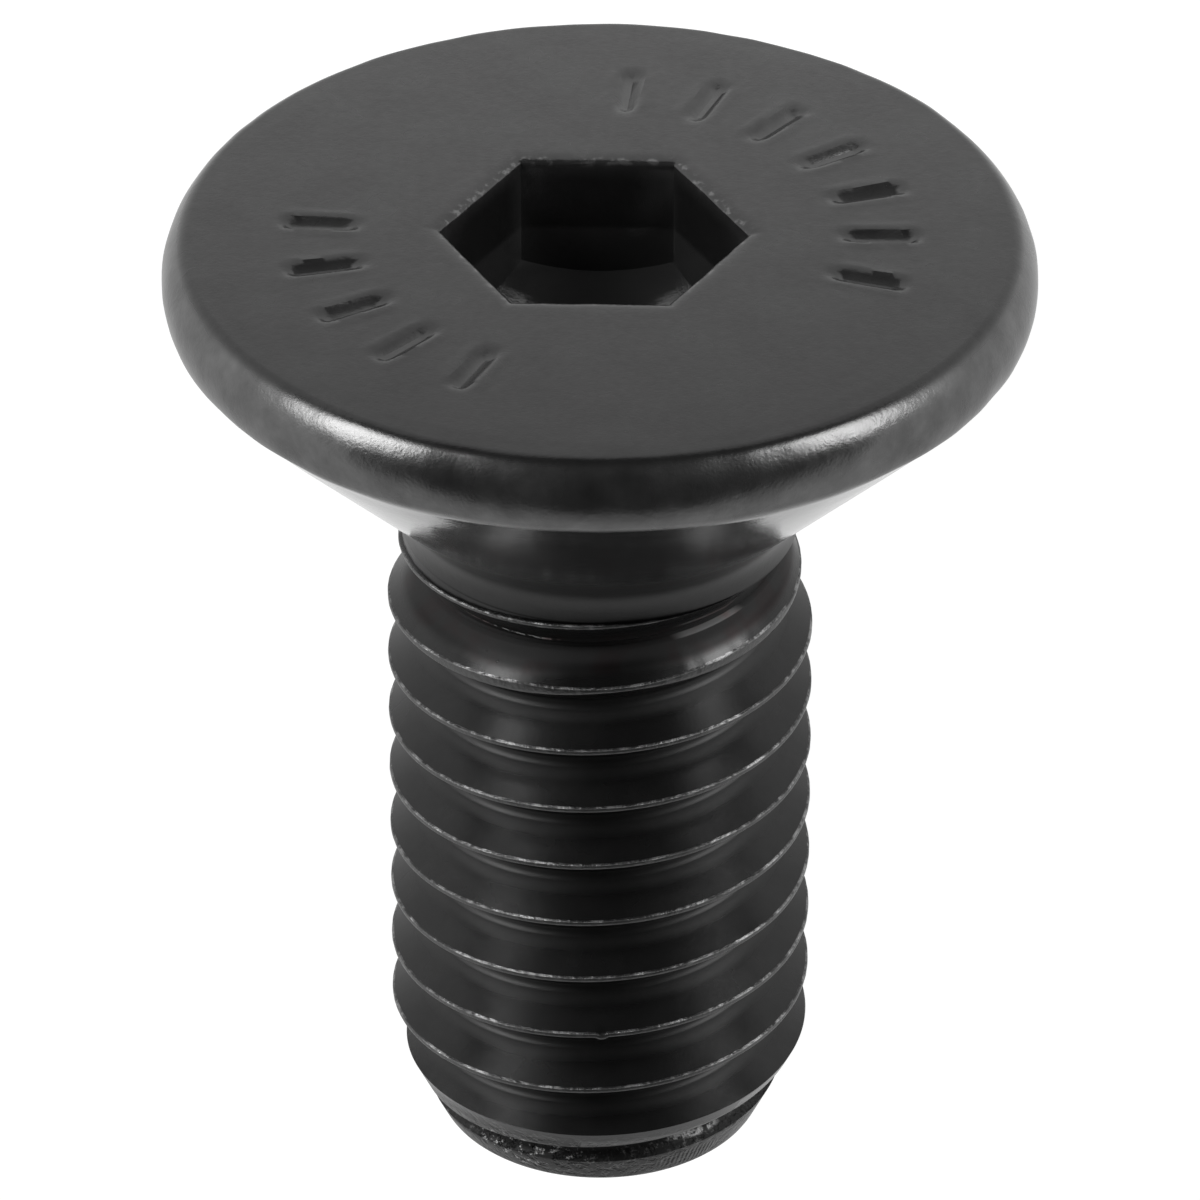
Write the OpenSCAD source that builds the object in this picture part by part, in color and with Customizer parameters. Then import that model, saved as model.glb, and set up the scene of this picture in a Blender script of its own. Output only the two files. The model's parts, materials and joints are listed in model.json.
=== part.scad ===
// Countersunk screw with a hexagon socket, lying on its side as it comes to rest.
// The screw is drawn upright: its axis is Z, the flat top of the head is at z = 0 and
// a depth h below that top is at z = -h. lie_down() then lays it on the plane z = 0.

/* [Head] */
// Diameter of the head at its widest
head_d = 10; // [9:0.1:12]
// Full angle of the cone under the head, in degrees
cone_angle = 90; // [80:1:100]
// Height of the rim, from the flat top down to the cone
rim_h = 0.82; // [0.7:0.01:1]
// Depth of the rim's widest point
rim_depth = 0.54; // [0.45:0.01:0.6]
// Radius of the barrelled rim in section
rim_r = 0.7; // [0.65:0.01:1]

/* [Socket] */
// Width of the hexagon across its flats
socket_af = 3.05; // [2.5:0.05:3.7]
// Depth of the flat walls at the hexagon's corners
socket_h = 1.35; // [1.1:0.05:1.65]
// Full angle of the cone at the bottom, in degrees
bottom_angle = 120; // [110:1:140]
// Leg of the chamfer round the mouth
mouth_chamfer = 0.04; // [0.02:0.01:0.15]

/* [Shank] */
// Overall length, from the flat top to the end of the tip
screw_l = 12; // [9:0.5:25]
// Diameter of the plain neck under the head
neck_d = 4.6; // [4.3:0.02:4.9]
// Length of the neck, its fillet included
neck_h = 0.34; // [0.25:0.01:0.6]
// Radius of the fillet between the cone and the neck
neck_fillet = 0.3; // [0.1:0.05:0.4]

/* [Thread] */
// Nominal diameter of the thread
thread_d = 5; // [4.8:0.1:5.6]
// Pitch, the rise of one turn
pitch = 0.8; // [0.6:0.05:1]
// Amount by which the crests stay under the nominal diameter
crest_allowance = 0.05; // [0.02:0.01:0.1]
// Diameter of the blank that the thread is rolled on
blank_d = 4.68; // [4.5:0.02:4.8]
// Turns over which the groove deepens from the blank's surface
runout = 1.1; // [0.6:0.1:1.6]
// Turns over which a crest rises from the blank's surface
crest_rise = 0.5; // [0.2:0.1:1]
// Direction in which the first crest leaves the neck, in degrees
thread_turn = 120; // [0:5:355]

/* [Tip] */
// Diameter of the flat end, out to where its edge would be if it were sharp
tip_d = 3.8; // [3.2:0.1:4.2]
// Length of the cone between the end and the full crests
tip_taper = 1.2; // [0.8:0.1:2]
// Radius of the end's edge
tip_round = 0.15; // [0.05:0.05:0.3]

/* [Hidden] */
ROUND = 96;   // segments of a drawn circle
TURN = 56;    // segments in one turn of the thread
BITE = 0.001; // a cutter passes this far through what it meets, for a clean edge

// Head: the rim is an arc about [rim_x, rim_depth], from the flat top to the cone's edge
rim_x = head_d / 2 - rim_r;
face_r = rim_x + sqrt(rim_r ^ 2 - rim_depth ^ 2);
edge_angle = asin((rim_h - rim_depth) / rim_r);
edge_r = rim_x + rim_r * cos(edge_angle);
neck_r = neck_d / 2;
neck_top = rim_h + (edge_r - neck_r) / tan(cone_angle / 2);
neck_end = neck_top + neck_h;
fillet_reach = neck_fillet * tan(cone_angle / 4);
socket_r = socket_af / sqrt(3);

// Thread: 60 degree flanks between a flat crest and a rounded root
FLANK = 30;   // angle of a flank from the plane across the axis
crest_r = (thread_d - crest_allowance) / 2;
root_r = thread_d / 2 - pitch * sqrt(3) / 2 * 17 / 24;
blank_r = blank_d / 2;
root_w = pitch / 5;
root_lift = pitch / 20;
last = TURN * (ceil((screw_l - neck_end) / pitch) + 2);
ROWS = 5;     // points of the form in one pitch

function clamp(x) = min(1, max(0, x));
// Depth of a crest's middle, and its radius, some turns down the thread
function crest_h(turns) = neck_end + pitch * (turns - 1);
function crest_at(turns) =
    blank_r + (crest_r - blank_r) * clamp((turns - 1 - runout) / crest_rise + 1 / 2);
// Radius of the groove's floor just below that crest, and half its width at a radius
function root_at(turns) = blank_r - (blank_r - root_r) * clamp(turns / runout);
function half_groove(turns, r) =
    root_w / 2 + max(BITE, r - root_at(turns) - root_lift) * tan(FLANK);
// The form over one pitch, as [depth, radius]: a crest's two edges, then the groove's floor
function form(turns) =
    let (h = crest_h(turns), r = crest_at(turns), middle = h + pitch / 2,
         floor_r = root_at(turns), floor_edge = min(r, floor_r + root_lift))
    [[h - pitch / 2 + half_groove(turns - 1, r), r],
     [middle - half_groove(turns, r), r],
     [middle - root_w / 2, floor_edge],
     [middle, min(r, floor_r)],
     [middle + root_w / 2, floor_edge]];
function thread_point(i, m) =
    let (p = form(i / TURN)[m], a = thread_turn - 360 * i / TURN)
    [p[1] * cos(a), p[1] * sin(a), -p[0]];

// Tip: a cone from the end's edge out past the crests, its edge rounded
tip_angle = atan((crest_r - tip_d / 2) / tip_taper);
function tip_r(h) = tip_d / 2 + (screw_l - h) * tan(tip_angle);

// Rest: the floor touches the rim, on its arc or at its edge, and a crest or the tip.
// A point of the screw's outline, [depth, radius], would meet the floor at this tilt.
function meets_at(p) =
    let (run = [rim_x - p[1], p[0] - rim_depth],
         on_arc = atan2(run[0], run[1]) + asin(rim_r / norm(run)))
    on_arc < edge_angle ? on_arc : atan2(edge_r - p[1], p[0] - rim_h);
under = [for (k = [2:last / TURN]) form((thread_turn + 90) / 360 + k)];
under_crests = [for (f = under) for (p = [f[0], f[1]])
    if (p[0] < screw_l) [p[0], min(p[1], tip_r(p[0]))]];
tilt = min([for (p = concat(under_crests, [[screw_l, tip_d / 2]])) meets_at(p)]);
rest_z = tilt < edge_angle ? rim_x * cos(tilt) + rim_depth * sin(tilt) + rim_r
    : edge_r * cos(tilt) + rim_h * sin(tilt);
rest_y = (screw_l * cos(tilt) + (tip_d / 2 - face_r) * sin(tilt)) / 2;

// Half of the head and neck in section, x outwards and y up. The cone's line is drawn on
// up to the flat top, and the rim's arc trims it; below_arc lies under the edge they make.
module head_section() {
    on_neck = [neck_r, neck_top + fillet_reach];
    on_cone = [neck_r, neck_top] + fillet_reach * [sin(cone_angle / 2), -cos(cone_angle / 2)];
    fillet_centre = on_neck + [neck_fillet, 0];
    below_arc = rim_depth + rim_r * cos(cone_angle / 2);
    mirror([0, 1]) intersection() {
        union() {
            square([rim_x, neck_end]);
            translate([rim_x, rim_depth]) circle(rim_r, $fn = ROUND);
            translate([0, below_arc]) square([head_d, neck_end]);
        }
        difference() {
            polygon([[0, 0], [edge_r + rim_h * tan(cone_angle / 2), 0], on_cone, fillet_centre,
                     on_neck, [neck_r, neck_end], [0, neck_end]]);
            translate(fillet_centre) circle(neck_fillet + BITE, $fn = ROUND);
        }
    }
}
module socket() {
    over = 0.01;
    cone_h = socket_r / tan(bottom_angle / 2);
    rise = mouth_chamfer + over;
    translate([0, 0, -socket_h]) {
        cylinder(r = socket_r, h = socket_h + over, $fn = 6);
        intersection() {
            translate([0, 0, -cone_h]) cylinder(r1 = 0, r2 = socket_r, h = cone_h, $fn = ROUND);
            translate([0, 0, -cone_h]) cylinder(r = socket_r, h = cone_h + over, $fn = 6);
        }
    }
    translate([0, 0, -mouth_chamfer])
        cylinder(r1 = socket_r, r2 = socket_r + rise * 2 / sqrt(3), h = rise, $fn = 6);
}
module head() {
    difference() {
        rotate_extrude($fn = ROUND) head_section();
        socket();
    }
}

// One strip wound round the axis: each turn's lower edge is the next turn's upper edge
module helix() {
    function at(i, m) = i > last ? (last + 1) * ROWS + i - last - 1
        : m < ROWS ? i * ROWS + m : at(i + TURN, 0);
    function ring(i) = [for (k = [i:i + TURN]) at(k, 0), for (m = [ROWS - 1:-1:1]) at(i, m)];
    function fan(loop, centre) = [for (k = [0:len(loop) - 1])
        [loop[k], loop[(k + 1) % len(loop)], centre]];
    points = concat(
        [for (i = [0:last]) for (m = [0:ROWS - 1]) thread_point(i, m)],
        [for (i = [last + 1:last + TURN]) thread_point(i, 0)],
        [[0, 0, -crest_h(0)], [0, 0, -crest_h(last / TURN + 1)]]);
    sides = [for (i = [0:last - 1]) for (m = [0:ROWS - 1]) each [
        [at(i, m), at(i + 1, m + 1), at(i + 1, m)],
        [at(i, m), at(i, m + 1), at(i + 1, m + 1)]]];
    ends = concat(
        fan(ring(0), len(points) - 2),
        [for (f = fan(ring(last), len(points) - 1)) [f[0], f[2], f[1]]]);
    polyhedron(points, concat(sides, ends), convexity = 10);
}
// Half of the space that the thread fills, in section, x outwards and y up
module thread_section() {
    reach = tip_round / tan(45 + tip_angle / 2);
    centre = [tip_d / 2 - reach, screw_l - tip_round];
    on_cone = [tip_d / 2, screw_l] + reach * [sin(tip_angle), -cos(tip_angle)];
    clear_r = thread_d / 2 + pitch / 2;
    clear_h = screw_l - (clear_r - tip_d / 2) / tan(tip_angle);
    mirror([0, 1]) {
        translate(centre) circle(tip_round, $fn = ROUND);
        polygon([[0, neck_end], [clear_r, neck_end], [clear_r, clear_h], on_cone, centre,
                 [centre[0], screw_l], [0, screw_l]]);
    }
}
module thread() {
    intersection() {
        helix();
        rotate_extrude($fn = ROUND) thread_section();
    }
}
module lie_down() {
    translate([0, -rest_y, rest_z]) rotate([90 - tilt, 0, 0]) children();
}
module screw() {
    color("dimgray") lie_down() {
        head();
        thread();
    }
}

screw();
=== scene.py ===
# %% [markdown]
# # A countersunk screw with a hexagon socket
# The object is one small steel screw, 12 mm long and 10 mm across its head. It was
# forged from wire, its thread was rolled between dies, and it was then blackened. The
# CAD frame gives its true size and place; this script gives it a finely modelled
# surface and its finish.
# %% Load the frame
import json
import math

import bpy
from mathutils import Matrix, Vector, noise


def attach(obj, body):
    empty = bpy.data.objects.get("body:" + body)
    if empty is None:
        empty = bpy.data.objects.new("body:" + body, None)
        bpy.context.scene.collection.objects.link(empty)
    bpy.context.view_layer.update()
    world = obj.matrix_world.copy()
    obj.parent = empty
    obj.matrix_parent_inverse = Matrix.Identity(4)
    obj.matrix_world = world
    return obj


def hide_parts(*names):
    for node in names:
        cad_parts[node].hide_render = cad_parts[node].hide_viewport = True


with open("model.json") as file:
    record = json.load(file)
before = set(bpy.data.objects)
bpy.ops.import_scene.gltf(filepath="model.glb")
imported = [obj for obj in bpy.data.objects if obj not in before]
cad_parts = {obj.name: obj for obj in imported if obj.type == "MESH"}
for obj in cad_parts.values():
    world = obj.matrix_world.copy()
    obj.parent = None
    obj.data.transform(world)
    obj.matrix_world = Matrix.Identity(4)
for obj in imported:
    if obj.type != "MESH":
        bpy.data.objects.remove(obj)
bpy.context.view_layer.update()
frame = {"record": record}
MM = 0.001

# %% [markdown]
# ## The screw's own axes
# The screw lies on its side, so it is easier to model it upright and lay it down at
# the end. The record's hex_socket mount sits at the centre of the flat top and points
# out of it, which is all that is needed to turn one frame into the other. In the
# upright frame the top is at z = 0, the tip points down and +Y is the upper side.
# %% The screw's own axes
mounts = {m["name"]: m for m in frame["record"]["mounts"]}
top_centre = Vector(mounts["hex_socket"]["pos_m"])
axis_up = Vector(mounts["hex_socket"]["axis"]).normalized()
left = Vector((1, 0, 0))
front = axis_up.cross(left)
turn_down = Matrix((left, front, axis_up)).transposed()
lie = Matrix.Translation(top_centre) @ turn_down.to_4x4()
print(f"the axis dips {math.degrees(math.asin(axis_up.z)):.2f} degrees")

# %% [markdown]
# ## Camera
# The camera comes first, so that every later step can be looked at. It is a long lens
# a little over a hand's width away, above the upper side of the screw and looking down
# on its head. It is placed in the screw's own axes, because that is how the view is
# known: so many degrees above the thread's side, aimed a little below the head.
# %% Camera
ELEVATION = math.radians(31.41)
AIM_BELOW = math.radians(2.094)
DISTANCE = 114.14 * MM     # from the middle of the flat top
LENS = 301.04              # focal length and sensor width, as Blender has them in mm
SENSOR = 36


def toward(elevation):
    """Unit vector from the screw's axis out to the upper side, raised by an elevation."""
    return front * math.cos(elevation) + axis_up * math.sin(elevation)


aim = ELEVATION + AIM_BELOW
camera_up = axis_up * math.cos(aim) - front * math.sin(aim)
camera_data = bpy.data.cameras.new("camera")
camera_data.lens = LENS
camera_data.sensor_width = SENSOR
camera_data.clip_start = 10 * MM
camera_data.clip_end = 20
camera = bpy.data.objects.new("camera", camera_data)
bpy.context.scene.collection.objects.link(camera)
camera.matrix_world = (Matrix.Translation(top_centre + toward(ELEVATION) * DISTANCE)
                       @ Matrix((-left, camera_up, toward(aim))).transposed().to_4x4())
bpy.context.scene.camera = camera
print("camera at", [round(v / MM, 1) for v in camera.matrix_world.translation], "mm")

# %% [markdown]
# ## The sizes
# These are the screw's sizes in millimetres, as a maker would write them on a drawing.
# The finely modelled screw has to fit the CAD solid, so both use the same numbers. One
# size is its own: the cone sweeps into the neck with a wide radius, as on the real
# screw, where the CAD has a small fillet. It stays well inside the solid's box.
# %% The sizes
HEAD_R = 5.0           # head at its widest
RIM_H = 0.82           # flat top down to the cone
RIM_DEPTH = 0.54       # flat top down to the rim's widest point
RIM_R = 0.7            # radius of the barrelled rim in section
SOCKET_AF = 3.05       # hexagon across its flats
SOCKET_H = 1.35        # flat walls, at the hexagon's corners
NECK_R = 2.3
NECK_H = 0.34
FILLET = 0.7           # the cone sweeps into the neck with this radius, wider than the CAD's
SCREW_L = 12.0
PITCH = 0.8
BLANK_R = 2.34         # the wire that the thread is rolled on
CREST_R = 2.475
ROOT_R = 2.5 - PITCH * math.sqrt(3) / 2 * 17 / 24
RUNOUT = 1.1           # turns over which the groove deepens
CREST_RISE = 0.5       # turns over which a crest rises
THREAD_TURN = 120      # direction in which the first crest leaves the neck
TIP_R = 1.9
TIP_TAPER = 1.2        # the cone between the end and the full crests
TIP_ROUND = 0.15
CONE_HALF = math.radians(45)       # half angle of the cone under the head
BOTTOM_HALF = math.radians(60)     # half angle of the cone at the socket's bottom

rim_x = HEAD_R - RIM_R
face_r = rim_x + math.sqrt(RIM_R ** 2 - RIM_DEPTH ** 2)
rim_start = math.asin(RIM_DEPTH / RIM_R)
rim_end = math.asin((RIM_H - RIM_DEPTH) / RIM_R)
edge_r = rim_x + RIM_R * math.cos(rim_end)
neck_top = RIM_H + edge_r - NECK_R     # the cone's depth is its width, at 45 degrees
neck_end = neck_top + NECK_H
socket_r = SOCKET_AF / math.sqrt(3)
print(f"flat top {face_r:.3f}, edge {edge_r:.3f}, neck from {neck_top:.3f} to {neck_end:.3f}")

# %% [markdown]
# ## A line drawn point by point
# Turned and wound shapes both start as half a section: a line of points in the XZ
# plane. By hand, one vertex is made and then extruded from point to point, so that is
# what this helper does. A plane is the primitive, merged to a single vertex.
# %% A line drawn point by point


def draw_line(name, points):
    """Extrude one vertex along points of (distance from the axis, height) in mm."""
    bpy.ops.object.select_all(action="DESELECT")
    bpy.ops.mesh.primitive_plane_add(size=MM)
    piece = bpy.context.object
    piece.name = name
    bpy.ops.object.mode_set(mode="EDIT")
    bpy.ops.mesh.select_mode(type="VERT")
    bpy.ops.mesh.select_all(action="SELECT")
    bpy.ops.mesh.merge(type="CENTER")
    bpy.ops.transform.translate(value=(points[0][0] * MM, 0, points[0][1] * MM))
    for here, there in zip(points, points[1:]):
        step = ((there[0] - here[0]) * MM, 0, (there[1] - here[1]) * MM)
        bpy.ops.mesh.extrude_region_move(TRANSFORM_OT_translate={"value": step})
    return piece


def between(start, end, count):
    """Evenly spaced points after start, up to end."""
    return [tuple(a + (b - a) * k / count for a, b in zip(start, end))
            for k in range(1, count + 1)]


# %% [markdown]
# ## The head's section
# The line starts at the bottom of the socket, climbs its cone and its wall, rolls over
# the mouth, crosses the flat top, and goes round the rim and down the cone to the neck.
# The flat top gets many points, because tool marks are pressed into it later. The line
# ends inside the thread's core, where the two bodies will be joined.
# %% The head's section
MOUTH = 0.2            # width of the worn band round the mouth
MOUTH_SINK = 0.07      # depth of that band
MOUTH_STEPS = 6        # points across it
WALL_END = 0.05        # the straight wall stops this far below it
HOLD = 2.85            # outside this radius the hexagon has no more effect
FLAT_END = 0.06        # the top is flat up to this far in from its edge,
ROLL_IN, ROLL_DOWN = 0.02, 0.002   # then it rolls over by way of one point
RIM_LATE = 0.03        # into the rim's arc, which starts this many radians late
NECK_OVER = 0.008      # the neck passes this far into the thread, for a clean joint
CORE_R = 1.7           # the section ends on a small plug inside the thread
CORE_H = 0.15
floor_h = SOCKET_H + socket_r / math.tan(BOTTOM_HALF)


def arc(centre, radius, start, end, count):
    """Points on an arc, angles in radians from outwards towards down."""
    return [(centre[0] + radius * math.cos(a), centre[1] - radius * math.sin(a))
            for a in (start + (end - start) * k / count for k in range(1, count + 1))]


section = [(0, -floor_h)]
section += between(section[-1], (socket_r, -SOCKET_H), 8)
section += between(section[-1], (socket_r, -MOUTH_SINK - WALL_END), 8)
section += [(socket_r + MOUTH * (k / MOUTH_STEPS) ** 2,
             -MOUTH_SINK * (1 - k / MOUTH_STEPS) ** 1.6) for k in range(MOUTH_STEPS + 1)]
section += between(section[-1], (HOLD, 0), 12)
section += between(section[-1], (face_r - FLAT_END, 0), 30)
section += [(face_r - ROLL_IN, -ROLL_DOWN)]
section += arc((rim_x, -RIM_DEPTH), RIM_R, -rim_start + RIM_LATE, rim_end, 16)
reach = FILLET * math.tan(CONE_HALF / 2)
slant = reach * math.sin(CONE_HALF)
section += between(section[-1], (NECK_R + slant, -neck_top + slant), 14)
section += arc((NECK_R + FILLET, -neck_top - reach), -FILLET, CONE_HALF, 0, 6)
section += between(section[-1], (NECK_R, -neck_end - NECK_OVER), 3)
section += [(CORE_R, -neck_end - CORE_H), (0, -neck_end - CORE_H)]
head = draw_line("blackened_screw", section)
print(len(section), "points in the head's section")

# %% [markdown]
# ## The head is turned
# Spinning the section about the axis does what a lathe does. The count of columns is a
# multiple of six, so that a column of points falls on each corner of the hexagon. The
# points on the axis and the seam are doubled by the spin, so they are merged, and the
# faces are then made to point outwards.
# %% The head is turned
HEAD_COLUMNS = 288
WELD = 0.0002 * MM


def spin_round(columns):
    """Spin what is selected once round the Z axis and close the seam."""
    bpy.ops.mesh.select_all(action="SELECT")
    bpy.ops.mesh.spin(steps=columns, angle=math.tau, center=(0, 0, 0), axis=(0, 0, 1))
    bpy.ops.mesh.select_all(action="SELECT")
    bpy.ops.mesh.remove_doubles(threshold=WELD)
    bpy.ops.mesh.normals_make_consistent(inside=False)
    bpy.ops.object.mode_set(mode="OBJECT")


spin_round(HEAD_COLUMNS)
print("head:", len(head.data.vertices), "vertices")

# %% [markdown]
# ## The hexagon
# The socket is punched cold, so its mouth is a hexagon whose edges are dragged in and
# rounded over. The turned socket is still a circle: every point of it, and of the flat
# top close by, is moved along its radius until the circle is a hexagon. The punch also
# sat a little off the middle and was turned by a degree or two.
# %% The hexagon
PUNCH_OFF = Vector((0.07, -0.07))
PUNCH_TURN = math.radians(-1.5)
MOUTH_WAVE = 0.014     # unevenness of the mouth's edge
WAVE_SIZE = 0.4        # length of its waves
WAVE_DEEP = 0.4        # and how deep they reach down the wall


def clamp(value):
    return min(1, max(0, value))


def hexagon_share(angle):
    """Distance from the centre to a hexagon's side, as a share of its corner's."""
    return math.cos(math.pi / 6) / math.cos(angle % (math.pi / 3) - math.pi / 6)


def punch(x, y, z):
    """Where a point of the turned socket or flat top goes, all in mm."""
    r, angle = math.hypot(x, y), math.atan2(y, x)
    hold = clamp((r - socket_r - MOUTH) / (HOLD - socket_r - MOUTH))
    share = hexagon_share(angle)
    new_r = r * (share + (1 - share) * hold)
    if r < socket_r * 1.001:
        wall_foot = -SOCKET_H - (socket_r - new_r) / math.tan(BOTTOM_HALF)
        z = wall_foot if z < -SOCKET_H + 0.001 else z * -wall_foot / SOCKET_H
    if z > -WAVE_DEEP:
        new_r += MOUTH_WAVE * (1 - hold) * noise.noise(Vector((x, y, 0)) / WAVE_SIZE)
    angle += PUNCH_TURN * (1 - hold)
    shift = PUNCH_OFF * (1 - hold)
    return new_r * math.cos(angle) + shift.x, new_r * math.sin(angle) + shift.y, z


for v in head.data.vertices:
    x, y, z = (c / MM for c in v.co)
    if z > -floor_h - 0.01 and math.hypot(x, y) < HOLD:
        v.co = [c * MM for c in punch(x, y, z)]
print("hexagon punched, turned by", round(math.degrees(PUNCH_TURN), 1), "degrees")

# %% [markdown]
# ## Punch marks on the flat top
# Such heads are marked with punches. Here they are plain strokes of one length, evenly
# spaced along two arcs. Each is pressed in by lowering the points of the flat top with
# a soft profile, and the metal that had to go somewhere stands up as a low lip.
# %% Punch marks on the flat top
MARK_STEP = 17         # degrees between marks
MARKS = [162 + MARK_STEP * k for k in range(7)] + [-4 + MARK_STEP * k for k in range(5)]
MARK_FROM, MARK_TO = 2.72, 3.68     # radii between which each mark runs
MARK_END = 0.15        # length over which its ends fade out
MARK_DEPTH = 0.085
MARK_HALF = 0.14       # half its width
MARK_LIP = 0.013       # height of the lip beside it
LIP_OFF, LIP_HALF = 1.4, 0.35       # the lip's place and width, in half widths of the mark


def mark_height(x, y):
    """How far the marks lower or raise the flat top at a place, in mm."""
    r, angle = math.hypot(x, y), math.degrees(math.atan2(y, x))
    along = clamp((r - MARK_FROM) / MARK_END) * clamp((MARK_TO - r) / MARK_END)
    off = math.radians(min(abs((angle - m + 180) % 360 - 180) for m in MARKS)) * r / MARK_HALF
    cut = max(0, 1 - off ** 2) ** 1.5
    lip = math.exp(-((off - LIP_OFF) / LIP_HALF) ** 2)
    return along * (MARK_LIP * lip - MARK_DEPTH * cut)


for v in head.data.vertices:
    x, y, z = (c / MM for c in v.co)
    if z > -0.001 and MARK_FROM < math.hypot(x, y) < MARK_TO:
        v.co.z += mark_height(x, y) * MM
print(len(MARKS), "marks")

# %% [markdown]
# ## A forged surface
# Forging leaves nothing perfectly even. The rim is dented by a hundredth or two of a
# millimetre, far too little to see as a shape, but enough to break up its reflections.
# Every point of the rim moves along its own outward direction by a smooth noise.
# %% A forged surface
RIM_DENT = 0.012       # depth of the dents
WIDE_DENT, SMALL_DENT = 1.1, 0.4    # size of the two kinds of dent
SMALL_SHARE = 0.6      # depth of the small ones, as a share of the wide ones
RIM_FADE = 0.3         # the dents fade in over this width of the flat top
DENT_END = 0.4         # they end this far down the cone


def rim_dent(place):
    """How far a point of the rim is pushed out, in mm."""
    small = SMALL_SHARE * noise.noise(place / SMALL_DENT)
    return RIM_DENT * (noise.noise(place / WIDE_DENT) + small - SMALL_SHARE)


for v in head.data.vertices:
    place = v.co / MM
    r = math.hypot(place.x, place.y)
    if r > face_r - RIM_FADE and place.z > -RIM_H - DENT_END:
        outward = Vector((place.x / r * (r - rim_x), place.y / r * (r - rim_x),
                          place.z + RIM_DEPTH)).normalized()
        fade = clamp((r - face_r + RIM_FADE) / RIM_FADE)
        v.co += outward * rim_dent(place) * fade * MM
print("rim dented")

# %% [markdown]
# ## The thread's form
# A rolled thread is squeezed up out of the wire, so it fades in: the groove deepens
# over the first turn and the crests rise over the next. form() gives one pitch at any
# turn as points of (depth, radius): over the crest, down a flank, across the rounded
# root and up the next flank. The crest is narrower than the CAD's, as its edges are
# worn round, and in two places a fold has left it wide and rough.
# %% The thread's form
FORM = 18              # points in one pitch
LAND = 0.064           # width of a crest, its edges worn away
WIDE_LAND = 0.12       # folds left a crest this wide
WIDE_TURNS = (1.96, 2.17)
WIDE_HALF = 0.06       # half the length of such a place, in turns
UPPER_WEAR = ((0, 0.018), (0.008, 0.006), (0.018, 0.001))     # in from a crest's edge,
LOWER_WEAR = ((0.012, 0.0005), (0.004, 0.004), (0, 0.01))     # and how far it is worn down
root_w = PITCH / 5
root_lift = PITCH / 20


def mix(a, b, share):
    return tuple(u + (v - u) * share for u, v in zip(a, b))


def wide(turn):
    """1 where the crest was left wide and rough by a fold, 0 elsewhere."""
    return clamp(1.5 - min(abs(turn - t) for t in WIDE_TURNS) / WIDE_HALF)


def land_width(turn):
    return LAND + (WIDE_LAND - LAND) * wide(turn)


def crest_depth(turn):
    return neck_end + PITCH * (turn - 1)


def crest_radius(turn):
    return BLANK_R + (CREST_R - BLANK_R) * clamp((turn - 1 - RUNOUT) / CREST_RISE + 0.5)


def floor_radius(turn):
    """Radius of the groove's floor, just below the crest at this turn."""
    return BLANK_R - (BLANK_R - ROOT_R) * clamp(turn / RUNOUT)


print(f"third turn: crest {crest_radius(3):.3f}, floor {floor_radius(3):.3f}")

# %% [markdown]
# ## Where the thread runs out
# Under the head the dies only just reached the wire. The first crest is a narrow line
# there, the flank below it slopes gently inwards, and the metal is folded into two
# small laps beside the groove's floor. young() says how much of this a turn shows.
# %% Where the thread runs out
YOUNG_TURNS = (0.84, 1.5)          # all this lies between these turns,
YOUNG_FADES = (0.06, 0.28)         # and fades in and out over these parts of a turn
YOUNG_LAND = 0.05      # width of the first crest
YOUNG_EDGE = 0.062     # its upper edge above the crest's middle
YOUNG_SINK = 0.03      # the neck dips by this just above it
LAP_ABOVE = 0.11       # the upper lap's edge lies this far above the groove's middle
LAP_SHARE = 0.34       # and at this share of the groove's height
LAP_START = (0.97, 3.8, 0.19)      # before this turn it climbs so much a turn, up to a limit
LAP_END = (1.136, 0.9)             # and after this turn it climbs so much a turn
LAP_CUT = (0.012, 0.03)            # the step under its edge: how far down, how far in
LAP_FOOT = ((-0.02, 0), (0.03, 0.005))     # the groove's floor between the two laps
LOWER_LAP = (0.06, 0.02)           # the lower lap's edge, below the middle and above the root
WEAR_WIDTH = 0.045     # a crest narrower than this gets its wear scaled down
LAND_MIDDLE = 0.35     # the land's middle point, as a share of its width from the lower edge


def young(turn):
    """1 where the thread is still running out, 0 further on."""
    fade_out = clamp((YOUNG_TURNS[1] - turn) / YOUNG_FADES[1])
    return fade_out * clamp((turn - YOUNG_TURNS[0]) / YOUNG_FADES[0])


def crest_top(turn):
    """Depth of a crest's upper edge."""
    full = land_width(turn) / 2
    return crest_depth(turn) - full - (YOUNG_EDGE - full) * young(turn)


def flank(start, end):
    """Three points between two points, two of them near the ends to keep the flank flat."""
    return [mix(start, end, share) for share in (0.03, 0.5, 0.97)]


def lap_depth(turn):
    """Depth of the upper lap's edge, which climbs towards both of its ends."""
    start = min(LAP_START[2], LAP_START[1] * max(0, LAP_START[0] - turn))
    end = LAP_END[1] * max(0, turn - LAP_END[0])
    return crest_depth(turn) + PITCH / 2 - LAP_ABOVE - start - end


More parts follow.
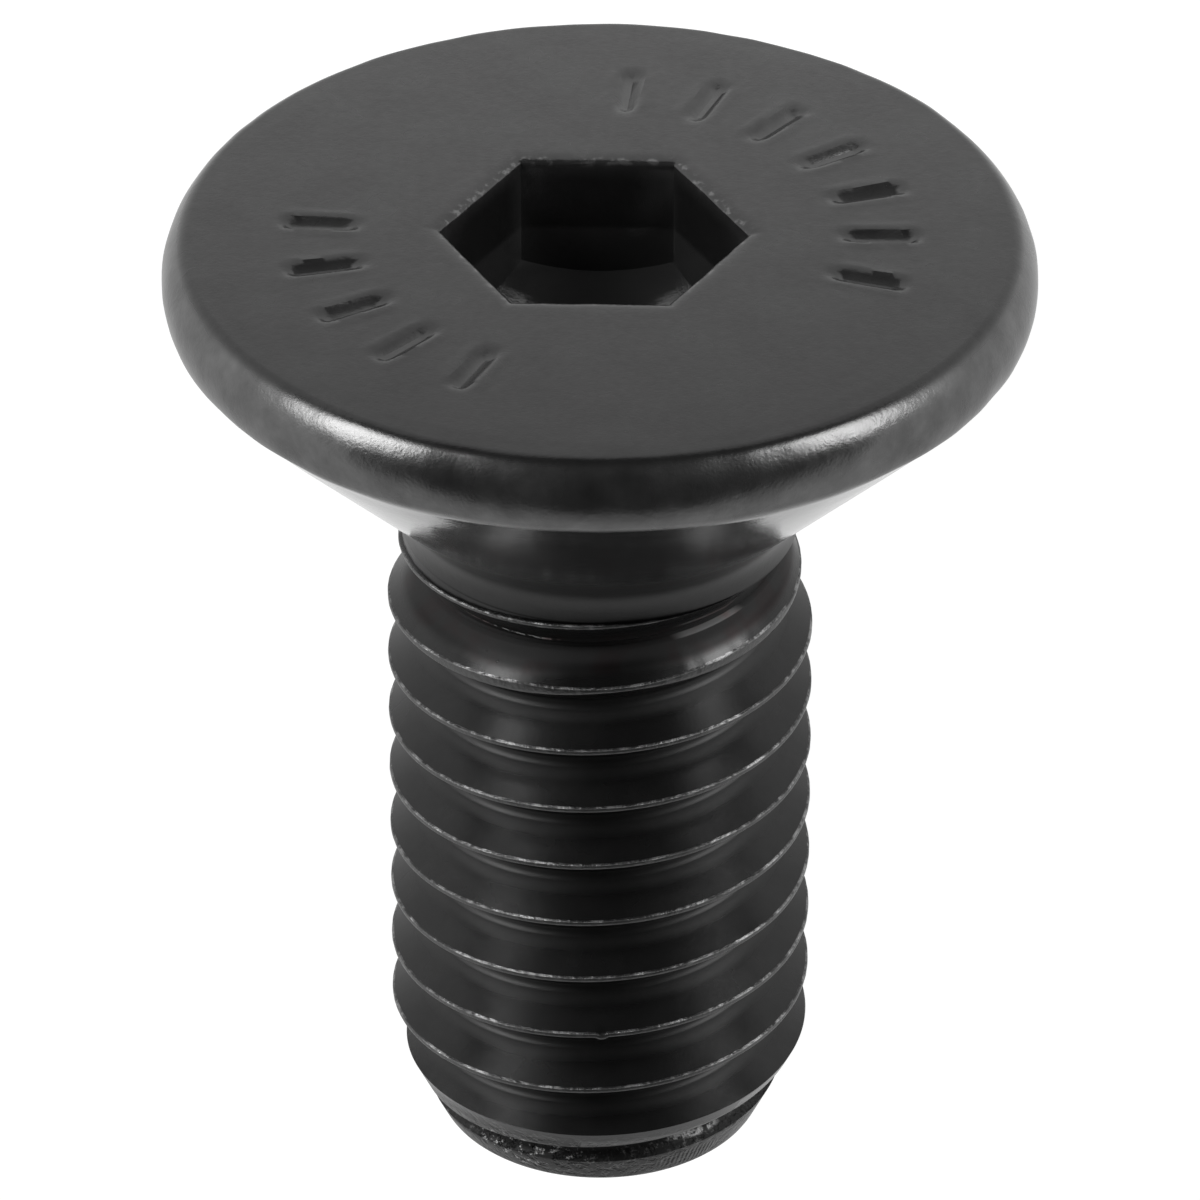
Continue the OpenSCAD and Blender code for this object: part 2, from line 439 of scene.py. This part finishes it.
def form(turn):
    """One pitch of the thread as points of (depth, radius) in mm."""
    r, floor_r, share = crest_radius(turn), floor_radius(turn), young(turn)
    middle = crest_depth(turn) + PITCH / 2
    upper, width = crest_top(turn), land_width(turn)
    lower = upper + width + (YOUNG_LAND - width) * share
    fit = min(1, (lower - upper) / WEAR_WIDTH)
    land = [(upper + into * fit, r - drop) for into, drop in UPPER_WEAR]
    land += [(lower - (lower - upper) * LAND_MIDDLE, r)]
    land += [(lower - into * fit, r - drop) for into, drop in LOWER_WEAR]
    root_edge = min(r - UPPER_WEAR[0][1], floor_r + root_lift)
    floor_r = min(root_edge, floor_r)
    quarter = floor_r + (root_edge - floor_r) / 4
    full = flank(land[-1], (middle - root_w / 2, root_edge))
    full += [(middle - root_w / 2, root_edge), (middle - root_w / 4, quarter),
             (middle, floor_r), (middle + root_w / 4, quarter), (middle + root_w / 2, root_edge)]
    lap, lap_r = lap_depth(turn), floor_r + LAP_SHARE * (r - floor_r)
    folded = flank(land[-1], (lap, lap_r))
    folded += [(lap, lap_r), (lap + LAP_CUT[0], lap_r - LAP_CUT[1])]
    folded += [(middle + down, floor_r + out) for down, out in LAP_FOOT]
    folded += [(middle + LOWER_LAP[0], root_edge + LOWER_LAP[1])]
    groove = [mix(a, b, share) for a, b in zip(full, folded)]
    next_edge = (crest_top(turn + 1), crest_radius(turn + 1) - UPPER_WEAR[0][1])
    sink = YOUNG_SINK * young(turn + 1)
    return land + groove + [(h, r - sink) for h, r in flank(groove[-1], next_edge)]


print("one pitch on the third turn:", [tuple(round(c, 2) for c in p) for p in form(3)])

# %% [markdown]
# ## The thread is wound
# A straight strip one pitch high is wound round the axis by the Screw modifier, which
# repeats it turn after turn, and the turns are then merged into one sleeve. Each point
# of the sleeve knows its turn from its angle and height, so it is moved to the form at
# exactly that turn. That keeps every crest edge sharp all the way along its helix.
# %% The thread is wound
THREAD_COLUMNS = 288
TURNS = 13


def wound_place(x, y, z):
    """The turn of a point of the plain sleeve, and which point of the form it is."""
    wound = (-z - neck_end) / PITCH + 1
    part = ((THREAD_TURN - math.degrees(math.atan2(y, x))) / 360) % 1
    whole = math.floor(wound - part + 0.01)
    return whole + part, round(FORM * (wound - part - whole))


start_turn = THREAD_TURN / 360 + TURNS - 1
start_z = -neck_end - PITCH * (start_turn - 1)
thread = draw_line("thread", [(CREST_R, start_z - PITCH * m / FORM)
                              for m in range(FORM + 1)])
bpy.ops.object.mode_set(mode="OBJECT")
winding = thread.modifiers.new("winding", "SCREW")
winding.screw_offset = PITCH * MM
winding.iterations = TURNS
winding.steps = winding.render_steps = THREAD_COLUMNS
bpy.ops.object.modifier_apply(modifier="winding")
bpy.ops.object.mode_set(mode="EDIT")
bpy.ops.mesh.select_all(action="SELECT")
bpy.ops.mesh.remove_doubles(threshold=WELD)
bpy.ops.object.mode_set(mode="OBJECT")
print("sleeve:", len(thread.data.vertices), "vertices")

# %% [markdown]
# ## Nicks and wear along the crests
# Crests are the first thing to be knocked. Both edges of each crest wander along their
# flanks by a few thousandths of a millimetre, more where the crest was left wide. Moving
# an edge along its own flank leaves the flank flat. Low down, one crest has a nick.
# %% Nicks and wear along the crests
CHIP = 0.005           # how far an edge wanders along its flank
CHIP_SIZE = 0.14       # and over what length
WIDE_CHIP = 4          # how many times more it does so where the crest is wide
ROUGH = 0.003          # unevenness of the land between its edges
ROUGH_SIZE = 0.12
NICK_TURN = 8.082      # where the nick is
NICK = 0.03            # how far it pushes the crest down
NICK_HALF = 1.5        # half its length, in columns of points
LAND_POINTS = 7        # the points of form() on the crest, from its upper to its lower edge
FLANK = math.radians(30)           # angle of a flank from the plane across the axis
along_flank = Vector((math.cos(FLANK), math.sin(FLANK)))


def chip(turn, angle, edge):
    """How far a crest's edge has moved along its flank, in mm."""
    place = Vector((CREST_R * math.cos(angle), CREST_R * math.sin(angle), crest_depth(turn)))
    apart = Vector((edge * 9, 0, 0))     # so that the two edges wander differently
    return CHIP * (1 + WIDE_CHIP * wide(turn)) * noise.noise(place / CHIP_SIZE + apart)


def worn_point(turn, m, angle):
    """A point of the form with its crest's wear: chips along both edges and one nick."""
    depth, r = form(turn)[m]
    if m in (0, 1, FORM - 1):
        slide = chip(turn + (m == FORM - 1), angle, 0) * (0.5 if m == 1 else 1)
        r, depth = r + slide * along_flank.x, depth + slide * along_flank.y
    elif m in (LAND_POINTS - 1, LAND_POINTS):
        slide = chip(turn, angle, 1)
        r, depth = r - slide * along_flank.x, depth + slide * along_flank.y
    elif m in (2, 3, 4):
        along = angle * CREST_R / ROUGH_SIZE
        r += ROUGH * noise.noise(Vector((along, depth / ROUGH_SIZE, 0)))
    if m < LAND_POINTS:
        depth += NICK * clamp(NICK_HALF - abs(turn - NICK_TURN) * THREAD_COLUMNS)
    return depth, r


for v in thread.data.vertices:
    x, y, z = (c / MM for c in v.co)
    turn, m = wound_place(x, y, z)
    angle = math.atan2(y, x)
    depth, r = worn_point(turn, m, angle) if m < FORM else worn_point(turn + 1, 0, angle)
    v.co = (r * MM * math.cos(angle), r * MM * math.sin(angle), -depth * MM)
print("crests worn, with a nick on turn", round(NICK_TURN, 1))

# %% [markdown]
# ## The sleeve is closed
# Bisect cuts the sleeve flat under the neck and below the tip and fills both cuts, so
# that it becomes a solid that can be joined to others.
# %% The sleeve is closed
PAST_TIP = 0.3         # the sleeve is cut this far below the tip's end
bpy.ops.object.mode_set(mode="EDIT")
for height, facing in ((-neck_end, 1), (-SCREW_L - PAST_TIP, -1)):
    bpy.ops.mesh.select_all(action="SELECT")
    bpy.ops.mesh.bisect(plane_co=(0, 0, height * MM), plane_no=(0, 0, facing),
                        clear_outer=True, use_fill=True, threshold=1e-8)
bpy.ops.mesh.select_all(action="SELECT")
bpy.ops.mesh.normals_make_consistent(inside=False)
bpy.ops.object.mode_set(mode="OBJECT")
print("closed sleeve:", len(thread.data.vertices), "vertices")

# %% [markdown]
# ## The tip
# The end of the wire was cut and pressed to a short cone. A turned body of that shape,
# wide enough to clear the thread higher up, is intersected with the thread.
# %% The tip
CLEAR_R = 3.2          # clears the crests
CLEAR_TOP = 3.0        # depth of the body's upper end, above the thread's own
tip_slope = (CREST_R - TIP_R) / TIP_TAPER
tip_angle = math.atan(tip_slope)
tip_reach = TIP_ROUND / math.tan(math.pi / 4 + tip_angle / 2)
tip_section = [(0, -CLEAR_TOP), (CLEAR_R, -CLEAR_TOP),
               (CLEAR_R, -SCREW_L + (CLEAR_R - TIP_R) / tip_slope)]
tip_section += between(tip_section[-1], (TIP_R + tip_reach * math.sin(tip_angle),
                                         -SCREW_L + tip_reach * math.cos(tip_angle)), 16)
tip_section += arc((TIP_R - tip_reach, -SCREW_L + TIP_ROUND), TIP_ROUND, tip_angle,
                   math.pi / 2, 5)
tip_section += between(tip_section[-1], (0, -SCREW_L), 8)
tip = draw_line("tip", tip_section)
spin_round(HEAD_COLUMNS)


def combine(piece, other, operation):
    """Join, cut or intersect piece with other, which is used up."""
    cut = piece.modifiers.new("cut", "BOOLEAN")
    cut.operation = operation
    cut.solver = "EXACT"
    cut.object = other
    bpy.ops.object.select_all(action="DESELECT")
    bpy.context.view_layer.objects.active = piece
    bpy.ops.object.modifier_apply(modifier="cut")
    bpy.data.objects.remove(other)
    print(piece.name, "has", len(piece.data.vertices), "vertices")


combine(thread, tip, "INTERSECT")
combine(head, thread, "UNION")

# %% [markdown]
# ## The screw is laid down
# The screw is finished upright, so the last step of its making is to put its place into
# its mesh: the object itself stays at the origin, unturned and unscaled. Edges sharper
# than 32 degrees stay sharp and the rest is shaded smooth. Weighted normals then let
# the large faces decide, so that the flanks look flat right up to the crests.
# %% The screw is laid down
SHARP = math.radians(32)
bpy.ops.object.select_all(action="DESELECT")
head.select_set(True)
bpy.context.view_layer.objects.active = head
head.matrix_world = lie
bpy.ops.object.transform_apply(location=True, rotation=True, scale=True)
bpy.ops.object.shade_smooth_by_angle(angle=SHARP)
flat = head.modifiers.new("flat flanks", "WEIGHTED_NORMAL")
flat.keep_sharp = True
bpy.ops.object.modifier_apply(modifier="flat flanks")
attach(head, "root")
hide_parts("screw")
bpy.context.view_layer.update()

# %% [markdown]
# ## Shader maths as Python
# A finish is built from dozens of small sums on node sockets. This class wraps one
# socket, so that such a sum is written as plain Python and each operator adds its own
# Math node. node() adds any other kind of node, with its settings and its sockets.
# %% Shader maths as Python


class Wire:
    """A node's output, so that shader maths can be written as Python expressions."""

    def __init__(self, tree, socket=None):
        self.tree = tree
        self.socket = socket

    def node(self, kind, settings=(), sockets=(), out=0):
        """Add a node of any kind, with its settings and the values or links of its sockets."""
        made = self.tree.nodes.new(kind)
        for name, value in dict(settings).items():
            setattr(made, name, value)
        for name, value in dict(sockets).items():
            if isinstance(value, Wire):
                self.tree.links.new(value.socket, made.inputs[name])
            else:
                made.inputs[name].default_value = value
        return Wire(self.tree, made.outputs[out])

    def other(self, name):
        """Another output of the same node."""
        return Wire(self.tree, self.socket.node.outputs[name])

    def maths(self, operation, *values):
        return self.node("ShaderNodeMath", {"operation": operation}, dict(enumerate(values)))

    def __add__(self, other):
        return self.maths("ADD", self, other)

    __radd__ = __add__

    def __sub__(self, other):
        return self.maths("SUBTRACT", self, other)

    def __rsub__(self, other):
        return self.maths("SUBTRACT", other, self)

    def __mul__(self, other):
        return self.maths("MULTIPLY", self, other)

    __rmul__ = __mul__

    def __truediv__(self, other):
        return self.maths("DIVIDE", self, other)

    def __pow__(self, other):
        return self.maths("POWER", self, other)

    def __abs__(self):
        return self.maths("ABSOLUTE", self)

    def step(self, start, end):
        """A soft step from 0 at start to 1 at end."""
        return self.node("ShaderNodeMapRange", {"interpolation_type": "SMOOTHSTEP"},
                         {"Value": self, "From Min": start, "From Max": end})

    def noise(self, size, detail=2, roughness=0.5):
        """Smooth noise from about 0 to 1, on a vector in mm, with lumps of a size in mm."""
        return self.node("ShaderNodeTexNoise", {}, {"Vector": self, "Scale": 1 / size,
                                                    "Detail": detail, "Roughness": roughness})


# %% [markdown]
# ## Where on the screw
# Wear and colour follow the screw's parts, so the finish has to know where it is. A
# Mapping node turns Object coordinates into the screw's own upright axes in
# millimetres. From them come the distance from the axis, the depth below the flat top,
# the direction round the axis, and how far a place is from the middle of a crest.
# patch() and fold() use these to pick out one place on the screw's side.
# %% Where on the screw
finish = bpy.data.materials.new("black_oxide")
finish.use_nodes = True
steel = finish.node_tree.nodes["Principled BSDF"]
head.data.materials.clear()
head.data.materials.append(finish)

stand_up = lie.to_3x3().transposed()
shader = Wire(finish.node_tree)
place = shader.node("ShaderNodeTexCoord", out="Object")
place = shader.node("ShaderNodeMapping", {}, {
    "Vector": place, "Location": -(stand_up @ top_centre) / MM,
    "Rotation": stand_up.to_euler(), "Scale": (1 / MM, 1 / MM, 1 / MM)})
axes = shader.node("ShaderNodeSeparateXYZ", {}, {"Vector": place})
x, y, z = (axes.other(name) for name in "XYZ")
radius = (x * x + y * y) ** 0.5
depth = 0 - z
around = shader.maths("ARCTAN2", y, x)
wound = (depth - neck_end) / PITCH + (around - math.radians(THREAD_TURN)) / math.tau
off_crest = (shader.maths("FRACT", wound + 0.5) - 0.5) * PITCH
turn = shader.maths("ROUND", wound) + 1 - (around - math.radians(THREAD_TURN)) / math.tau
rising = shader.node("ShaderNodeMapRange", {}, {
    "Value": turn, "To Min": BLANK_R, "To Max": CREST_R,
    "From Min": 1 + RUNOUT - CREST_RISE / 2, "From Max": 1 + RUNOUT + CREST_RISE / 2})
below_crest = rising - radius
on_thread = depth.step(neck_end - 0.02, neck_end + 0.02)


def patch(middle_angle, half_angle, middle_depth, half_depth):
    """1 in the middle of a patch of the screw's side, 0 outside it."""
    turned = shader.maths("WRAP", around - math.radians(middle_angle), math.pi, -math.pi)
    across = (turned / math.radians(half_angle)) ** 2
    down = ((depth - middle_depth) / half_depth) ** 2
    return (across + down).step(1, 0.3)


def fold(off, *where):
    """A thin line at a distance below a crest's middle, within a patch."""
    return abs(off_crest - off).step(0.026, 0.012) * patch(*where)


print("the finish knows where it is on the screw")

# %% [markdown]
# ## Black oxide
# The blackening is a very thin layer of dark oxide that keeps the steel's own surface,
# with oil rubbed in. What is seen is hardly its colour but its soft gloss, so it is a
# metal with a very dark base: the base is the share of light that it mirrors. The cone
# and the rim mirror more than the flat top, and oil darkens the socket and the thread.
# Each zone is 1 inside and fades to 0 between two depths or radii in millimetres. The
# share is also a little less towards the front: painted shade on the side that faces the
# camera.
# %% Black oxide
fine = place.noise(0.035, 2, 0.6)
spots = place.noise(0.45, 3, 0.6)
grain = place.noise(0.11, 3, 0.6)
patches = place.noise(0.9, 3, 0.55)
on_top = depth.step(0.1, 0.02)
on_rim = depth.step(0.04, 0.14) * depth.step(0.95, 0.85) * radius.step(3.5, 3.8)
on_cone = depth.step(0.85, 0.95) * depth.step(3.1, 2.7)
on_neck = depth.step(2.6, 3.2) * depth.step(3.83, 3.79)
in_socket = radius.step(1.9, 1.7) * depth.step(0.02, 0.3) * depth.step(3.2, 2.5)
in_root = abs(off_crest).step(0.2, 0.3) * on_thread
on_tip = depth.step(11.0, 11.3)
# The fall towards the front is painted shade on the side that faces the camera.
mirrored = 0.09 - y * 0.0033           # share of light, a little less towards the front
dull = 0.26 + (patches - 0.5) * 0.12   # roughness
metallic = 0.85 - in_root * 0.25
for zone, brighter, duller in (
        (on_top, -0.039, 0), (on_thread, -0.058, 0), (in_socket, -0.052, 0),
        (on_neck, -0.055, 0.12), (on_cone, 0.06, -0.14), (on_rim, 0.016, 0.02),
        (in_root, 0, 0.2), (on_tip, 0, 0.12)):
    mirrored = mirrored + zone * brighter
    dull = dull + zone * duller
mottled = 0.63 + patches * 0.4 + grain * (0.24 + on_top * 0.16)
mirrored = mirrored * (1 + on_rim * (spots - 0.5) * 0.9) * mottled * (1 - on_tip * 0.7)
print("black oxide")

# %% [markdown]
# ## Worn edges
# Crests rub on everything the screw meets. Their lands are polished to a lighter grey,
# and along the upper edge the oxide is gone in short dashes that show bare steel. The
# folds where the thread runs out stand up as thin ridges with a few beads, and the
# ridges carry a painted highlight that makes them mirror almost all light. On the tip's
# cone a pitted place is flecked with bright spots and another is scuffed, and the punch
# left glints round the socket's mouth.
# %% Worn edges
land = below_crest.step(0.014, 0.004) * on_thread
upper_edge = below_crest.step(0.03, 0.02) * below_crest.step(0.001, 0.004) * on_thread
upper_edge = upper_edge * off_crest.step(0.01, -0.01)
worn = upper_edge * place.noise(0.3, 4, 0.75).step(0.44, 0.66)
pitted = patch(64, 24, 11.55, 0.34)
flecks = place.noise(0.12, 4, 0.8).step(0.54, 0.72) * (pitted + on_tip * 0.2)
scuffed = patch(123, 12, 11.43, 0.06) * grain.step(0.4, 0.55)
# Each fold is a real raised ridge with a painted highlight along it: it mirrors almost all
# light.
ridge_and_highlight = fold(0.17 + around * 0.08, 57, 24, 4.2, 0.24) * grain.step(0.45, 0.55)
ridge_and_highlight = ridge_and_highlight + (fold(0.22, 128, 17, 4.0, 0.17) + fold(-0.355, 127, 15, 4.23, 0.13)) * 0.3
beads = patch(60, 18, 4.5, 0.16) * grain.step(0.66, 0.72)
mouth = depth.step(0.004, 0.02) * depth.step(0.11, 0.05) * radius.step(2.15, 2.0)
glints = mouth * grain.step(0.5, 0.65)
for wear, brighter in ((land, 0.045), (worn, 0.17), (flecks, 0.5), (scuffed, 0.25),
                       (ridge_and_highlight, 0.8), (beads, 0.1), (glints, 0.08)):
    mirrored = mirrored + wear * brighter
dull = dull + (land + upper_edge) * 0.08
print("worn edges")

# %% [markdown]
# ## Brown traces
# The oil has dried to a brown film in the first groove, where the thread runs out. The
# groove is darker and duller there, and in places the film takes green and blue away.
# %% Brown traces
folded = depth.step(3.82, 3.95) * depth.step(4.85, 4.6) * abs(off_crest).step(0.1, 0.2)
brown = folded * place.noise(0.35).step(0.45, 0.65)
oiled = mirrored * (1 - folded * 0.6)
less_blue = oiled * (1 - brown * 0.2)
dull = dull + folded * 0.2
print("brown oil in the first groove")

# %% [markdown]
# ## Relief
# Some marks are too shallow to be worth modelling: the grain of the oxide, the rough
# breaks along the crests, the pitted patch on the tip and the fine strokes that the
# cutter left round the end. They become one height in millimetres for a Bump node.
# %% Relief
FINE_H, GRAIN_H = 0.001, 0.0016    # heights in mm of the fine and the coarse grain,
PIT_H, TIP_PIT_H = 0.014, 0.007    # of the pits, and of those on the rest of the tip,
BREAK_H = 0.012                    # of the breaks along the crests,
RIDGE_H = 0.01                     # of the folds' ridges
STROKE_H = 0.005                   # and of the cutter's strokes
STROKES = 209          # strokes in a whole turn, though few of them are there
breaks = (land + upper_edge) * (place.noise(0.06, 3, 0.7) - 0.5)
strokes = patch(121, 14, 11.76, 0.16) + patch(147, 8, 11.56, 0.12)
strokes = strokes * shader.maths("SINE", around * STROKES)
rougher = 1 - on_thread * 0.5 + on_rim + on_top * 0.8
relief = ((fine - 0.5) * FINE_H + (grain - 0.5) * GRAIN_H) * rougher
relief = relief - (pitted * PIT_H + on_tip * TIP_PIT_H) * grain.step(0.45, 0.65)
relief = relief + breaks * BREAK_H + (ridge_and_highlight + beads) * RIDGE_H + strokes * STROKE_H
print("relief of a few thousandths of a millimetre")

# %% [markdown]
# ## Finish of the steel
# The sums are now plugged into the shader. It is not quite all metal, as a thin film of
# oil lies over the oxide, and its edges mirror a little less than clean steel would.
# %% Finish of the steel
colour = shader.node("ShaderNodeCombineColor", {}, {
    "Red": oiled, "Green": less_blue, "Blue": less_blue})
bump = shader.node("ShaderNodeBump", {}, {"Strength": 1.0, "Distance": MM, "Height": relief})
for name, wire in (("Base Color", colour), ("Roughness", dull), ("Metallic", metallic),
                   ("Normal", bump)):
    finish.node_tree.links.new(wire.socket, steel.inputs[name])
steel.inputs["Specular Tint"].default_value = (0.85, 0.85, 0.85, 1)
print(len(finish.node_tree.nodes), "nodes in the finish")
head.data.calc_loop_triangles()
print(len(head.data.loop_triangles), "triangles in the screw")

# %% [markdown]
# ## Floor
# A small dark part shows well on a white sheet lit from below, which leaves no shadow
# and sends white light up at the part from all sides. So the floor glows, just enough
# to be white, and it has no gloss of its own.
# %% Floor
FLOOR_SIZE = 4         # in metres, so that its edge is far away
FLOOR_GLOW = 0.92
bpy.ops.object.select_all(action="DESELECT")
bpy.ops.mesh.primitive_plane_add(size=FLOOR_SIZE, location=(0, 0, 0))
floor = bpy.context.object
floor.name = "floor"
sheet = bpy.data.materials.new("light_table")
sheet.use_nodes = True
lit = sheet.node_tree.nodes["Principled BSDF"]
lit.inputs["Base Color"].default_value = (0.2, 0.2, 0.2, 1)
lit.inputs["Roughness"].default_value = 0.8
lit.inputs["Specular IOR Level"].default_value = 0.0
lit.inputs["Emission Color"].default_value = (1, 1, 1, 1)
lit.inputs["Emission Strength"].default_value = FLOOR_GLOW
floor.data.materials.append(sheet)
print("a glowing floor")

# %% [markdown]
# ## World
# Dark metal shows only what it mirrors, so its surroundings draw its form. White walls
# stand all round. The side that the camera looks in from is open and dark, and so is
# the ceiling: they give the thread its blackness and the rim its dark front. The walls
# are also dimmer towards the front. Up and front are the upright screw's.
# %% World
OPENING = math.radians(60)         # dark up to this angle from the camera's direction,
OPENING_SOFT = math.radians(76)    # and white from this one
CEILING, CEILING_SOFT = 0.68, 0.54     # the same for the ceiling, as cosines,
DIM, DIM_SOFT = 0.8, 0.3               # and for the dimmer front
DARK, WHITE = 0.04, 1.22               # strengths
world = bpy.data.worlds.new("tent")
bpy.context.scene.world = world
world.use_nodes = True
bpy.context.scene.view_settings.view_transform = "Standard"
sky = Wire(world.node_tree)
looking = sky.node("ShaderNodeTexCoord", out="Generated")


def facing(direction):
    """Cosine of the angle between where a ray looks and a direction."""
    return sky.node("ShaderNodeVectorMath", {"operation": "DOT_PRODUCT"},
                    {0: looking, 1: tuple(direction)}, out="Value")


beside = facing(toward(ELEVATION)).step(math.cos(OPENING), math.cos(OPENING_SOFT))
dimmed = facing(front).step(DIM_SOFT, DIM)
ceiling = facing(axis_up).step(CEILING_SOFT, CEILING)
strength = (DARK + WHITE * (beside * (1 - ceiling))) * (1 - dimmed * 0.5)
background = world.node_tree.nodes["Background"]
background.inputs["Color"].default_value = (1, 1, 1, 1)
world.node_tree.links.new(strength.socket, background.inputs["Strength"])
print("white walls, dark ceiling")

# %% [markdown]
# ## Softboxes
# One softbox on either side of the camera lays a soft streak on the rim. Both stand far
# out to the side and about 36 degrees above the flat top's plane. They are weak, so
# that the streaks stay soft and little of their light reaches the thread by way of the
# cone.
# %% Softboxes
BOX_AWAY = 0.4         # distance from the screw in metres
BOX_SIZE = (0.15, 0.22)
BOX_DIRECTION = (0.763, 0.278, 0.583)      # out to one side, to the front and up


def softbox(name, side, power):
    """A rectangular light facing the screw from one side, 1 or -1, its power in watts."""
    across, forward, up = BOX_DIRECTION
    data = bpy.data.lights.new(name, "AREA")
    data.shape = "RECTANGLE"
    data.size, data.size_y = BOX_SIZE
    data.energy = power
    lamp = bpy.data.objects.new(name, data)
    bpy.context.scene.collection.objects.link(lamp)
    outward = (left * side * across + front * forward + axis_up * up).normalized()
    level = axis_up.cross(outward).normalized()
    lamp.matrix_world = (Matrix.Translation(top_centre + outward * BOX_AWAY) @ Matrix(
        (level, outward.cross(level), outward)).transposed().to_4x4())


softbox("softbox_left", 1, 1.6)
softbox("softbox_right", -1, 1.2)
print("two softboxes")
